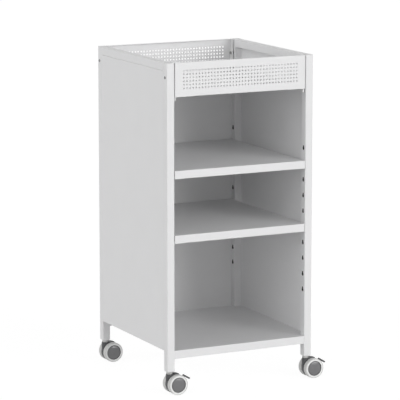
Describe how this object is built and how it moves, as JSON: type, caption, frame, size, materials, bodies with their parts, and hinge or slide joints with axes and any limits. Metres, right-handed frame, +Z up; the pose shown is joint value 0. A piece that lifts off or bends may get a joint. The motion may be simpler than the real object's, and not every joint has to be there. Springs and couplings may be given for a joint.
{
  "type": "mobile bookcase",
  "caption": "Mobile open-front bookcase of sheet steel on square posts, with a perforated top tray, lift-out shelves on clips, and twin-wheel swivel castors, some with a brake pedal.",
  "frame": {"origin": "on the floor, centred under the four posts", "axes": "+X to the right seen from the open front, +Y from the open front to the back panel, +Z up"},
  "size_m": [0.445, 0.4222, 0.817],
  "materials": {
    "white_steel": "fine-textured white powder coat",
    "white_plastic": "moulded white plastic",
    "dark_steel": "blackened steel",
    "zinc_steel": "zinc-plated steel",
    "castor_plastic": "moulded dark grey nylon",
    "cap_plastic": "moulded mid grey nylon, slightly glossy",
    "tread": "light grey soft tread"
  },
  "bodies": {
    "cabinet": {"post_front_left": "white_steel", "post_front_right": "white_steel", "post_back_left": "white_steel", "post_back_right": "white_steel", "post_caps": "white_plastic", "foot_sockets": "white_plastic", "top_rail_left": "white_steel", "top_rail_right": "white_steel", "side_panel_left": "white_steel", "side_panel_right": "white_steel", "back_panel": "white_steel", "rim_panel_front": "white_steel", "rim_panel_back": "white_steel", "tray_floor": "white_steel", "bottom_shelf": "white_steel", "tray_brackets": "white_steel", "tray_screws": "dark_steel", "tray_nuts": "zinc_steel", "tray_spacers": "dark_steel", "shelf_clips_upper": "zinc_steel", "shelf_clips_lower": "zinc_steel"},
    "upper_shelf": {"shelf_upper": "white_steel"},
    "lower_shelf": {"shelf_lower": "white_steel"},
    "castor_fl": {"stem_fl": "zinc_steel", "housing_fl": "castor_plastic", "axle_fl": "zinc_steel", "pedal_pin_fl": "zinc_steel"},
    "wheel_fl_front": {"hub_fl_front": "cap_plastic", "tyre_fl_front": "tread"},
    "wheel_fl_back": {"hub_fl_back": "cap_plastic", "tyre_fl_back": "tread"},
    "pedal_fl": {"brake_pedal_fl": "castor_plastic"},
    "castor_fr": {"stem_fr": "zinc_steel", "housing_fr": "castor_plastic", "axle_fr": "zinc_steel", "pedal_pin_fr": "zinc_steel"},
    "wheel_fr_front": {"hub_fr_front": "cap_plastic", "tyre_fr_front": "tread"},
    "wheel_fr_back": {"hub_fr_back": "cap_plastic", "tyre_fr_back": "tread"},
    "pedal_fr": {"brake_pedal_fr": "castor_plastic"},
    "castor_bl": {"stem_bl": "zinc_steel", "housing_bl": "castor_plastic", "axle_bl": "zinc_steel"},
    "wheel_bl_front": {"hub_bl_front": "cap_plastic", "tyre_bl_front": "tread"},
    "wheel_bl_back": {"hub_bl_back": "cap_plastic", "tyre_bl_back": "tread"},
    "castor_br": {"stem_br": "zinc_steel", "housing_br": "castor_plastic", "axle_br": "zinc_steel"},
    "wheel_br_front": {"hub_br_front": "cap_plastic", "tyre_br_front": "tread"},
    "wheel_br_back": {"hub_br_back": "cap_plastic", "tyre_br_back": "tread"}
  },
  "joints": [
    {"name": "upper_shelf_lift", "type": "slide", "parent": "cabinet", "child": "upper_shelf", "axis": [0, 0, 1], "range_m": [0, 0.165]},
    {"name": "lower_shelf_lift", "type": "slide", "parent": "cabinet", "child": "lower_shelf", "axis": [0, 0, 1], "range_m": [0, 0.135]},
    {"name": "castor_fl_swivel", "type": "hinge", "parent": "cabinet", "child": "castor_fl", "pos_m": [-0.19, -0.19, 0.055], "axis": [0, 0, 1], "continuous": true},
    {"name": "wheel_fl_front_roll", "type": "hinge", "parent": "castor_fl", "child": "wheel_fl_front", "pos_m": [-0.174, -0.19, 0.025], "axis": [0, 1, 0], "continuous": true},
    {"name": "wheel_fl_back_roll", "type": "hinge", "parent": "castor_fl", "child": "wheel_fl_back", "pos_m": [-0.174, -0.19, 0.025], "axis": [0, 1, 0], "continuous": true},
    {"name": "pedal_fl_press", "type": "hinge", "parent": "castor_fl", "child": "pedal_fl", "pos_m": [-0.162, -0.19, 0.039], "axis": [0, 1, 0], "range_deg": [0, 8]},
    {"name": "castor_fr_swivel", "type": "hinge", "parent": "cabinet", "child": "castor_fr", "pos_m": [0.19, -0.19, 0.055], "axis": [0, 0, 1], "continuous": true},
    {"name": "wheel_fr_front_roll", "type": "hinge", "parent": "castor_fr", "child": "wheel_fr_front", "pos_m": [0.206, -0.19, 0.025], "axis": [0, 1, 0], "continuous": true},
    {"name": "wheel_fr_back_roll", "type": "hinge", "parent": "castor_fr", "child": "wheel_fr_back", "pos_m": [0.206, -0.19, 0.025], "axis": [0, 1, 0], "continuous": true},
    {"name": "pedal_fr_press", "type": "hinge", "parent": "castor_fr", "child": "pedal_fr", "pos_m": [0.218, -0.19, 0.039], "axis": [0, 1, 0], "range_deg": [0, 8]},
    {"name": "castor_bl_swivel", "type": "hinge", "parent": "cabinet", "child": "castor_bl", "pos_m": [-0.19, 0.19, 0.055], "axis": [0, 0, 1], "continuous": true},
    {"name": "wheel_bl_front_roll", "type": "hinge", "parent": "castor_bl", "child": "wheel_bl_front", "pos_m": [-0.174, 0.19, 0.025], "axis": [0, 1, 0], "continuous": true},
    {"name": "wheel_bl_back_roll", "type": "hinge", "parent": "castor_bl", "child": "wheel_bl_back", "pos_m": [-0.174, 0.19, 0.025], "axis": [0, 1, 0], "continuous": true},
    {"name": "castor_br_swivel", "type": "hinge", "parent": "cabinet", "child": "castor_br", "pos_m": [0.19, 0.19, 0.055], "axis": [0, 0, 1], "continuous": true},
    {"name": "wheel_br_front_roll", "type": "hinge", "parent": "castor_br", "child": "wheel_br_front", "pos_m": [0.206, 0.19, 0.025], "axis": [0, 1, 0], "continuous": true},
    {"name": "wheel_br_back_roll", "type": "hinge", "parent": "castor_br", "child": "wheel_br_back", "pos_m": [0.206, 0.19, 0.025], "axis": [0, 1, 0], "continuous": true}
  ]
}
